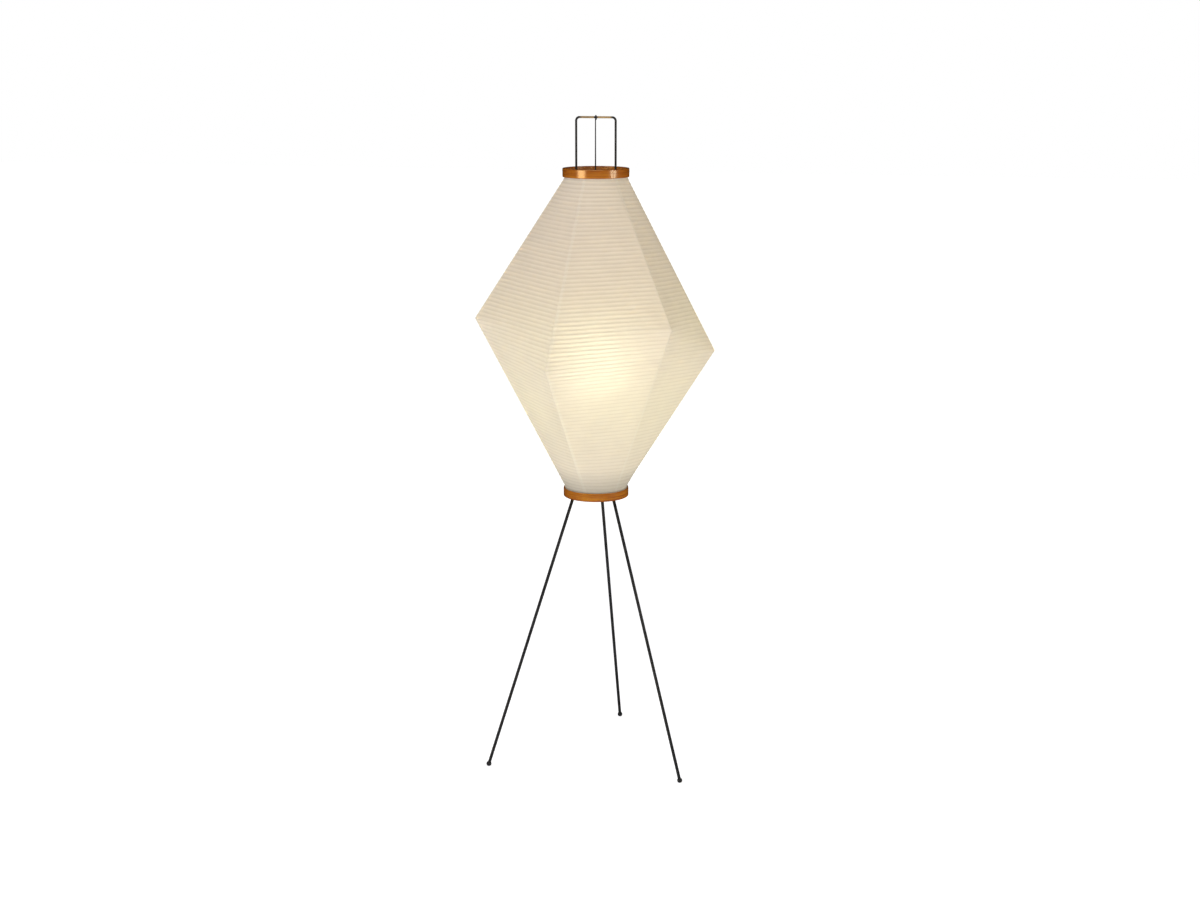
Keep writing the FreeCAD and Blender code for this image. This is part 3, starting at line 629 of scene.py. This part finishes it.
paperSettings = {
    "darkPulpAndRibShade": (0.765, 0.688, 0.585),
    "sheet": (0.855, 0.778, 0.675),
    "fibre": (0.90, 0.855, 0.77),
    "cloudScale": 26.0,
    "fibreScale": 70.0,
    "fibreCurl": 1.6,
    "fibreWidth": 0.012,              # as a share of the noise that draws it
    "strandScale": 33.0,
    "strandCurl": 2.2,
    "strandWidth": 0.006,
    "fibreTone": 0.22,
    "through": 0.42,                  # share of light that the paper lets straight through
    "lampHeight": bulbHigh.z + 0.03,  # middle of the light, over the dome
    "glowNear": 0.0095,
    "glowFloor": 0.004,               # light thrown about inside the shade
    "glowInside": 0.19,
    "glowAslant": 0.3,                # left where the paper is edge on to the light
    "glowAbove": 0.3,                 # left straight above the light
    "glowBelow": 1.3,
    "glowFar": (1.0, 0.86, 0.42),
    "glowClose": (0.92, 0.97, 0.42),
    "glowFull": 0.06,                 # glow at which the closer tint is full
    "glowCloud": (0.97, 1.03),
    "glowFibre": 0.97,
    "ribWidth": 0.0022,
    "ribShadeShare": 0.95,
    "ribDim": 0.2,
    "ribUneven": (0.55, 1.25),
    "unevenRound": 7.0,
    "unevenAlong": 38.0,
    "seamWidth": 0.007,
    "seamDim": 0.04,
    "seamTone": 0.35,
    "footShade": 0.30,                  # painted shade on the paper next to the lower hoop
    "footReach": 0.075,
    "smooth": 0.74,
    "dull": 0.86,
    "gloss": 0.15,
    "ior": 1.45,
    "bump": 0.10,
    "bumpDepth": 0.0003,
}


def fibreLines(tree, coords, scale, detail, rough, curl, width):
    middle = noise(tree, coords, scale, detail, rough, curl) - 0.5
    return middle.maths("ABSOLUTE").spread(0.0, width, 1.0, 0.0)


def makeWashi(look):
    finish, tree, shader, coords = startFinish("washiPaper")
    lay = Wire(tree, addNode(tree, "ShaderNodeUVMap", uv_map="paperLay").outputs[0])
    place, along = lay.part(0), lay.part(1)

    # ribs and pasted seams show where the paper is double or backed; the rib lines are also painted shade,
    # the rib's shadow in the bulb's light
    turn = (along - lantern["Rib Margin"]) / lantern["Rib Pitch"] - place / lanternSettings["ridges"]
    toRib = turn.maths("PINGPONG", 0.5) * lantern["Rib Pitch"]
    rib = toRib.spread(0.25 * look["ribWidth"], look["ribWidth"], 1.0, 0.0, smooth=True)
    unevenCoords = joinXyz(tree, place * look["unevenRound"], along * look["unevenAlong"], 0.0)
    rib = rib * noise(tree, unevenCoords, 1.0, 3.0, 0.6).fromNoise(*look["ribUneven"])
    fromAxis = joinXyz(tree, coords.part(0), coords.part(1), 0.0).vector("LENGTH")
    pastSeam = place.maths("FRACT") * fromAxis
    seam = pastSeam.spread(0.85 * look["seamWidth"], look["seamWidth"], 1.0, 0.0, smooth=True)

    # cloudy pulp and long fibres
    cloud = noise(tree, coords, look["cloudScale"], 5.0, 0.6)
    fibre = fibreLines(tree, coords, look["fibreScale"], 2.0, 0.5, look["fibreCurl"], look["fibreWidth"])
    strand = fibreLines(tree, coords, look["strandScale"], 1.0, 0.4, look["strandCurl"], look["strandWidth"])
    fibres = fibre.maths("MAXIMUM", strand)

    tone = blended(tree, cloud.fromNoise(0.7, 1.0), look["darkPulpAndRibShade"], look["sheet"])
    tone = blended(tree, fibres * look["fibreTone"], tone, look["fibre"])
    # painted shade along the rib's turns, partly the paper's own backing
    tone = blended(tree, rib * look["ribShadeShare"], tone, look["darkPulpAndRibShade"])
    tone = blended(tree, seam * look["seamTone"], tone, look["fibre"])
    # painted shade: the paper darkened towards black next to the lower hoop
    foot = along.spread(lantern["Whole Run"] - look["footReach"], lantern["Whole Run"],
                        0.0, look["footShade"], smooth=True)
    tone = blended(tree, foot, tone, (0.0, 0.0, 0.0))
    feed(tree, tone, shader.inputs["Base Color"])

    # even light from the bulb: stronger where the paper is near it and facing it, weak high above it
    fromLamp = coords.vector("SUBTRACT", (0.0, 0.0, look["lampHeight"]))
    reach = fromLamp.vector("LENGTH")
    ray = fromLamp.vector("NORMALIZE")
    normal = Wire(tree, addNode(tree, "ShaderNodeNewGeometry").outputs["True Normal"])
    outward = ray.vector("DOT_PRODUCT", normal)
    facing = outward.maths("ABSOLUTE").spread(0.0, 1.0, look["glowAslant"], 1.0)
    above = ray.part(2).spread(0.2, 1.0, 1.0, look["glowAbove"], smooth=True)
    below = ray.part(2).spread(-0.75, 0.0, look["glowBelow"], 1.0, smooth=True)
    direct = facing * above * below / reach * look["glowNear"]
    tint = blended(tree, direct.spread(0.0, look["glowFull"], 0.0, 1.0), look["glowFar"], look["glowClose"])
    glow = direct + outward.spread(-0.05, 0.05, look["glowInside"], look["glowFloor"])
    # the rib's painted shadow in the glow
    glow = glow * rib.spread(0.0, 1.0, 1.0, 1.0 - look["ribDim"])
    glow = glow * seam.spread(0.0, 1.0, 1.0, 1.0 - look["seamDim"])
    glow = glow * cloud.fromNoise(*look["glowCloud"]) * fibres.spread(0.0, 1.0, 1.0, look["glowFibre"])
    tinted = blended(tree, 1.0, tint, joinXyz(tree, glow, glow, glow), "MULTIPLY")
    feed(tree, tinted, shader.inputs["Emission Color"])
    shader.inputs["Emission Strength"].default_value = 1.0
    feed(tree, fibres.spread(0.0, 1.0, look["dull"], look["smooth"]), shader.inputs["Roughness"])
    shader.inputs["Specular IOR Level"].default_value = look["gloss"]
    shader.inputs["Transmission Weight"].default_value = look["through"]
    shader.inputs["IOR"].default_value = look["ior"]
    bump(tree, shader, fibres * 0.5 + cloud * 0.5, look["bump"], look["bumpDepth"])
    return finish


finishes = {slot: makeHardFinish(slot, look, hardFinishShared) for slot, look in hardFinishes.items()}
finishes["opal_plastic"] = makeOpal(opalSettings)
finishes["amber_wood"] = makeAmberWood(woodSettings)
finishes["bamboo"] = makeBamboo(bambooSettings)
finishes["washi_paper"] = makeWashi(paperSettings)
for part in frame["record"]["subparts"]:
    for materialSlot in nodes[part["node"]].material_slots:
        materialSlot.material = finishes[part["material_slot"]]
print("finishes made:", len(finishes))


# geometry node trees for the lantern

def startTree(name, inputs):
    tree = bpy.data.node_groups.new(name, "GeometryNodeTree")
    keys = {}
    for title, kind in inputs.items():
        keys[title] = tree.interface.new_socket(name=title, in_out="INPUT", socket_type=kind).identifier
    tree.interface.new_socket(name="Geometry", in_out="OUTPUT", socket_type="NodeSocketGeometry")
    entry = addNode(tree, "NodeGroupInput").outputs
    values = {title: Wire(tree, entry[title]) for title in inputs}
    return tree, keys, values


def paintPiece(tree, geometry, finish):
    real = addNode(tree, "GeometryNodeRealizeInstances", {"Geometry": geometry})
    painted = addNode(tree, "GeometryNodeSetMaterial", {"Geometry": real.outputs[0], "Material": finish})
    addNode(tree, "NodeGroupOutput", {"Geometry": painted.outputs[0]})


def runTree(name, tree, keys, values, thickness=None, sharp=35.0):
    mesh = bpy.data.meshes.new(name)
    piece = bpy.data.objects.new(name, mesh)
    scene.collection.objects.link(piece)
    modifier = piece.modifiers.new("shape", "NODES")
    modifier.node_group = tree
    for title, key in keys.items():
        modifier[key] = values[title]
    if thickness is not None:
        wall = piece.modifiers.new("wall", "SOLIDIFY")
        wall.thickness = thickness
        wall.offset = -1.0
    depsgraph = bpy.context.evaluated_depsgraph_get()
    made = bpy.data.meshes.new_from_object(
        piece.evaluated_get(depsgraph), preserve_all_data_layers=True, depsgraph=depsgraph)
    piece.modifiers.clear()
    piece.data = made
    made.name = name
    made.set_sharp_from_angle(angle=math.radians(sharp))
    return piece


lanternInputs = {title: "NodeSocketFloat" for title in lantern}


def ridgeLine(along, sizes, upperRun, corner):
    # radius and height of one ridge at a distance down it, and the cut that would round its corner off
    neck, belt, whole = sizes["Neck Radius"], sizes["Belt Radius"], sizes["Whole Run"]
    opening = along.spread(0.0, upperRun, neck, belt)
    closing = along.spread(upperRun, whole, belt, neck)
    drop = along.spread(upperRun, whole, 0.0, sizes["Neck Bottom"] - corner)
    rise = along.spread(0.0, upperRun, sizes["Neck Top"], corner) + drop
    toCorner = (along - upperRun).maths("ABSOLUTE")
    eased = toCorner.takenFrom(sizes["Belt Ease"]).maths("MAXIMUM", 0.0)
    cut = eased * eased / sizes["Belt Ease"] * (belt - neck) / whole
    return opening.maths("MINIMUM", closing), rise, cut


def lanternPoint(tree, along, place, inset, sizes):
    # point of the paper at a distance down the ridges; place counts ridges round the lamp
    highRadius, highRise, highCut = ridgeLine(along, sizes, sizes["Short Run"], sizes["High Corner"])
    lowRadius, lowRise, lowCut = ridgeLine(along, sizes, sizes["Long Run"], sizes["Low Corner"])
    ridge = place.maths("FLOOR")
    across = place - ridge
    odd = ridge.maths("FLOORED_MODULO", 2.0)
    inner = across.arch()
    ends = []
    for side in (0, 1):
        share = odd if side == 0 else odd.takenFrom(1.0)
        radius = lowRadius + (highRadius - lowRadius) * share - inset
        radius = radius - (lowCut + (highCut - lowCut) * share) * inner
        rise = lowRise + (highRise - lowRise) * share
        angle = (ridge + float(side)) * ridgeAngle + sizes["First Ridge"]
        ends.append(joinXyz(tree, radius * angle.maths("COSINE"), radius * angle.maths("SINE"), rise))
    chord = ends[1].vector("SUBTRACT", ends[0])
    point = ends[0].vector("ADD", scaled(tree, chord, across))
    nearHoop = along.maths("MINIMUM", along.takenFrom(sizes["Whole Run"]))
    roundBow = (sizes["Neck Radius"] - inset) * (1 - math.cos(ridgeAngle / 2))
    bow = nearHoop.spread(0.0, sizes["Short Run"], roundBow, sizes["Belt Bow"])
    lift = bow * inner
    middle = (ridge + 0.5) * ridgeAngle + sizes["First Ridge"]
    neckRise = along.maths("MINIMUM", 0.0) + (along - sizes["Whole Run"]).maths("MAXIMUM", 0.0)
    out = joinXyz(tree, lift * middle.maths("COSINE"), lift * middle.maths("SINE"), neckRise * -1.0)
    return point.vector("ADD", out)


goreSettings = {
    "columns": 16,
    "lapColumns": 2,
    "rowsPerRib": 8,
    "ribDip": 0.0007,    # how far the paper sinks between two turns of the rib
    "lapWidth": 0.006,   # paper pasted over the next gore
    "lapRise": 0.00035,
    "lapRamp": 0.02,     # share of the gore's width over which it rises
    "thickness": 0.0004,
}


def makeGoreTree(settings):
    tree, keys, size = startTree("paperGore", {
        **lanternInputs, "Ridge": "NodeSocketFloat", "Rib Dip": "NodeSocketFloat",
        "Lap Width": "NodeSocketFloat", "Lap Rise": "NodeSocketFloat",
        "Columns": "NodeSocketInt", "Rows": "NodeSocketInt", "Paper": "NodeSocketMaterial"})
    grid = addNode(tree, "GeometryNodeMeshGrid", {
        "Size X": 1.0, "Size Y": 1.0, "Vertices X": size["Columns"], "Vertices Y": size["Rows"]})
    flat = Wire(tree, grid.outputs["UV Map"])
    neck, whole = size["Neck Length"], size["Whole Run"]
    along = flat.part(1).spread(0.0, 1.0, whole + neck, neck * -1.0)
    ridgeColumn = (settings["columns"] - 1.0) / (settings["columns"] + settings["lapColumns"] - 1.0)
    girth = along.spread(0.0, size["Short Run"], size["Neck Radius"], size["Belt Radius"]).maths(
        "MINIMUM", along.spread(size["Long Run"], whole, size["Belt Radius"], size["Neck Radius"]))
    across = flat.part(0).spread(0.0, ridgeColumn, 0.0, 1.0)
    lapped = flat.part(0).spread(ridgeColumn, 1.0, 0.0, size["Lap Width"] / girth)
    place = size["Ridge"] + across + lapped
    shaped = addNode(tree, "GeometryNodeSetPosition", {
        "Geometry": grid.outputs["Mesh"], "Position": lanternPoint(tree, along, place, 0.0, size)})

    turn = (along - size["Rib Margin"]) / size["Rib Pitch"] - place / lanternSettings["ridges"]
    ribbed = along.spread(0.0, size["Rib Margin"], 0.0, 1.0) * along.spread(
        whole - size["Rib Margin"], whole, 1.0, 0.0)
    dip = turn.maths("FRACT").arch() * size["Rib Dip"] * ribbed
    lapStart = ridgeColumn - settings["lapRamp"]
    rise = flat.part(0).spread(lapStart, ridgeColumn, 0.0, size["Lap Rise"]) - dip
    normal = addNode(tree, "GeometryNodeInputNormal").outputs["Normal"]
    draped = addNode(tree, "GeometryNodeSetPosition", {
        "Geometry": shaped.outputs[0], "Offset": scaled(tree, normal, rise)})
    mapped = addNode(tree, "GeometryNodeStoreNamedAttribute", {
        "Geometry": draped.outputs[0], "Name": "paperLay"}, data_type="FLOAT2", domain="CORNER")
    feed(tree, joinXyz(tree, place, along, 0.0), mapped.inputs["Value"])
    smooth = addNode(tree, "GeometryNodeSetShadeSmooth", {"Geometry": mapped.outputs[0]})
    paintPiece(tree, smooth.outputs[0], size["Paper"])
    return tree, keys


def makeGores(settings):
    tree, keys = makeGoreTree(settings)
    length = lantern["Whole Run"] + 2 * lantern["Neck Length"]
    width = lantern["Belt Radius"] + settings["lapWidth"]
    rows = int(settings["rowsPerRib"] * length / lantern["Rib Pitch"])
    for ridge in range(lanternSettings["ridges"]):
        values = {**lantern, "Ridge": float(ridge), "Rib Dip": settings["ribDip"],
                  "Lap Width": settings["lapWidth"], "Lap Rise": settings["lapRise"],
                  "Columns": settings["columns"] + settings["lapColumns"], "Rows": rows,
                  "Paper": finishes["washi_paper"]}
        gore = runTree(f"paperGore{ridge + 1}", tree, keys, values, settings["thickness"])
        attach(gore, "shade")
        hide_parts(f"paper_gore_{ridge + 1}")
        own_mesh(gore)


makeGores(goreSettings)


ribSettings = {
    "stepsPerSide": 16,  # from one ridge to the next
    "inset": 0.0023,     # rib's middle inside the paper's face, measured towards the lamp's axis
    "depth": 0.0016,
    "height": 0.0018,
}


def makeRibTree():
    tree, keys, size = startTree("bambooRib", {
        **lanternInputs, "Turns": "NodeSocketFloat", "Steps": "NodeSocketInt",
        "Inset": "NodeSocketFloat", "Strip Depth": "NodeSocketFloat",
        "Strip Height": "NodeSocketFloat", "Bamboo": "NodeSocketMaterial"})
    line = addNode(tree, "GeometryNodeMeshLine", {"Count": size["Steps"]})
    step = Wire(tree, addNode(tree, "GeometryNodeInputIndex").outputs[0])
    share = (step + 0.5) / size["Steps"]
    along = share.spread(0.0, 1.0, size["Rib Margin"], size["Whole Run"] - size["Rib Margin"])
    place = share * size["Turns"] * lanternSettings["ridges"]
    wound = addNode(tree, "GeometryNodeSetPosition", {
        "Geometry": line.outputs[0], "Position": lanternPoint(tree, along, place, size["Inset"], size)})
    path = addNode(tree, "GeometryNodeMeshToCurve", {"Mesh": wound.outputs[0]})
    level = addNode(tree, "GeometryNodeSetCurveNormal", {"Curve": path.outputs[0]}, mode="Z_UP")
    strip = addNode(tree, "GeometryNodeCurvePrimitiveQuadrilateral", {
        "Width": size["Strip Depth"], "Height": size["Strip Height"]})
    swept = addNode(tree, "GeometryNodeCurveToMesh", {
        "Curve": level.outputs[0], "Profile Curve": strip.outputs[0], "Fill Caps": True})
    paintPiece(tree, swept.outputs[0], size["Bamboo"])
    return tree, keys


def makeRib(settings):
    tree, keys = makeRibTree()
    turns = lanternSettings["ribTurns"]
    steps = turns * lanternSettings["ridges"] * settings["stepsPerSide"]
    values = {**lantern, "Turns": float(turns), "Steps": steps, "Inset": settings["inset"],
              "Strip Depth": settings["depth"], "Strip Height": settings["height"],
              "Bamboo": finishes["bamboo"]}
    rib = runTree("bambooRib", tree, keys, values)
    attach(rib, "shade")
    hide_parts("bamboo_rib")
    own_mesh(rib)
    print("bamboo rib made with", len(rib.data.polygons), "faces")


makeRib(ribSettings)


def closeBuild(build, name, slot, sharp=None):
    mesh = bpy.data.meshes.new(name)
    build.to_mesh(mesh)
    build.free()
    for face in mesh.polygons:
        face.use_smooth = True
    if sharp is not None:
        mesh.set_sharp_from_angle(angle=math.radians(sharp))
    mesh.materials.append(finishes[slot])
    piece = bpy.data.objects.new(name, mesh)
    scene.collection.objects.link(piece)
    return piece


hoopSettings = {
    "steps": 192,
    "edgeRadius": 0.0009,
    "edgeSteps": 4,
    "faceSteps": (0.05, 0.2, 0.5, 0.8, 0.95),
    "crown": 0.00015,     # the strip's face is a little fuller in its middle
    "lapAngle": 118.0,    # degrees, where the strip's outer end lies on the inner one
    "lapSpan": 34.0,
    "lapSlit": 0.02,      # degrees on either side of the step
    "lapStep": 0.0006,
}


def hoopSection(settings, low, high):
    # closed outline of the strip: (radius, height, 1 on the outer face)
    outer, inner = high.x, high.x - lanternSettings["hoopWall"]
    edge, crown = settings["edgeRadius"], settings["crown"]
    flatHeight = high.z - low.z - 2 * edge
    outline = []
    # middle of each rounded edge, where its arc starts, and the way up or down the face that follows it
    edges = [(outer - edge - crown, low.z + edge, -90, 1, 1), (outer - edge - crown, high.z - edge, 0, 1, 0),
             (inner + edge, high.z - edge, 90, 0, -1), (inner + edge, low.z + edge, 180, 0, 0)]
    for radius, height, start, face, way in edges:
        for step in range(settings["edgeSteps"] + 1):
            angle = math.radians(start + 90.0 * step / settings["edgeSteps"])
            outline.append((radius + edge * math.cos(angle), height + edge * math.sin(angle), face))
        for share in settings["faceSteps"] if way else ():
            bulge = crown * (4 * share * (1 - share) - 1) * face
            outline.append(((outer if face else inner) + bulge, height + way * share * flatHeight, face))
    return outline


def makeHoop(settings, name, node, body):
    low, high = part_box(node)
    outline = hoopSection(settings, low, high)
    lapStart, slit, steps = settings["lapAngle"], settings["lapSlit"], settings["steps"]
    whole = 360.0 - 2 * slit
    angles = [lapStart - slit] + [lapStart + slit + whole * step / steps for step in range(steps)]
    build = bmesh.new()
    rings = []
    for angle in angles:
        past = (angle - lapStart) % 360.0
        sunk = settings["lapStep"] * max(0.0, 1.0 - past / settings["lapSpan"])
        turn = math.radians(angle)
        rings.append([build.verts.new(((radius - sunk * face) * math.cos(turn),
                                       (radius - sunk * face) * math.sin(turn), height))
                      for radius, height, face in outline])
    count = len(outline)
    for ring, following in zip(rings, rings[1:] + rings[:1]):
        for index in range(count):
            after = (index + 1) % count
            build.faces.new((ring[index], following[index], following[after], ring[after]))
    bmesh.ops.recalc_face_normals(build, faces=build.faces)
    hoop = closeBuild(build, name, "amber_wood")
    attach(hoop, body)
    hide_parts(node)


makeHoop(hoopSettings, "upperHoop", "upper_hoop", "shade")
makeHoop(hoopSettings, "lowerHoop", "lower_hoop", "lower_hoop")
print("hoops made")


# the rods and wires, drawn fuller than the frame's so that their thin lines come out dark enough

rodSettings = {
    "fuller": {  # along the rod, and where the hook bears on the crossbar
        "leg_left": (0.0006, 0.0006), "leg_right": (0.0006, 0.0006), "leg_back": (0.0006, 0.0006),
        "hanger_frame": (0.00045, 0.00025), "hanger_hook": (0.0003, 0.0),
    },
    "bearing": (1.470, 1.488),           # heights between which the one turns into the other
    "bodies": {"hanger_hook": "shade"},  # all others are on the stand
    "weld": 1e-6,
    "sharp": 40.0,
}


def makeRod(settings, node):
    words = node.split("_")
    name = words[0] + words[1].capitalize() + "Rod"
    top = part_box(node)[1].z
    build = bmesh.new()
    build.from_mesh(nodes[node].data)
    bmesh.ops.remove_doubles(build, verts=build.verts, dist=settings["weld"])
    bmesh.ops.recalc_face_normals(build, faces=build.faces)
    build.normal_update()
    plain, bearing = settings["fuller"][node]
    start, end = settings["bearing"]
    for corner, normal in [(corner, corner.normal.copy()) for corner in build.verts]:
        share = min(1.0, max(0.0, (corner.co.z - start) / (end - start)))
        corner.co += normal * (plain + (bearing - plain) * share)
        corner.co.z = min(corner.co.z, top)
    rod = closeBuild(build, name, "black_lacquered_steel", settings["sharp"])
    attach(rod, settings["bodies"].get(node, "stand"))
    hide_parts(node)


for rodNode in rodSettings["fuller"]:
    makeRod(rodSettings, rodNode)
print("rods made:", len(rodSettings["fuller"]))


# the bulb's screw cap, a thin cup with a rolled thread

capSettings = {
    "wall": 0.0008,
    "pitch": 0.0036,
    "depth": 0.0006,
    "plainEnds": 0.003,
    "steps": 72,
    "rows": 60,
    "sharp": 50.0,
}


def makeCap(settings):
    low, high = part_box("bulb_cap")
    tall = high.z - low.z
    inner = high.x - settings["wall"]
    steps, ends = settings["steps"], settings["plainEnds"]
    angles = [2 * math.pi * step / steps for step in range(steps)]
    rings = []
    for row in range(settings["rows"] + 1):
        height = tall * row / settings["rows"]
        cut = settings["depth"] * min(1.0, height / ends, (tall - height) / ends)
        turn = 2 * math.pi * height / settings["pitch"]
        rings.append([(high.x - cut * (0.5 - 0.5 * math.cos(turn - angle)), low.z + height)
                      for angle in angles])
    rings.append([(inner, high.z)] * steps)
    rings.append([(inner, low.z + settings["wall"])] * steps)
    build = bmesh.new()
    corners = [[build.verts.new((radius * math.cos(angle), radius * math.sin(angle), height))
                for angle, (radius, height) in zip(angles, ring)] for ring in rings]
    for ring, above in zip(corners, corners[1:]):
        for step in range(steps):
            after = (step + 1) % steps
            build.faces.new((ring[step], ring[after], above[after], above[step]))
    build.faces.new(corners[0])
    build.faces.new(corners[-1])
    bmesh.ops.recalc_face_normals(build, faces=build.faces)
    cap = closeBuild(build, "threadedCap", "bulb_cap_metal", settings["sharp"])
    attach(cap, "bulb")
    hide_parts("bulb_cap")


makeCap(capSettings)
print("bulb cap threaded")
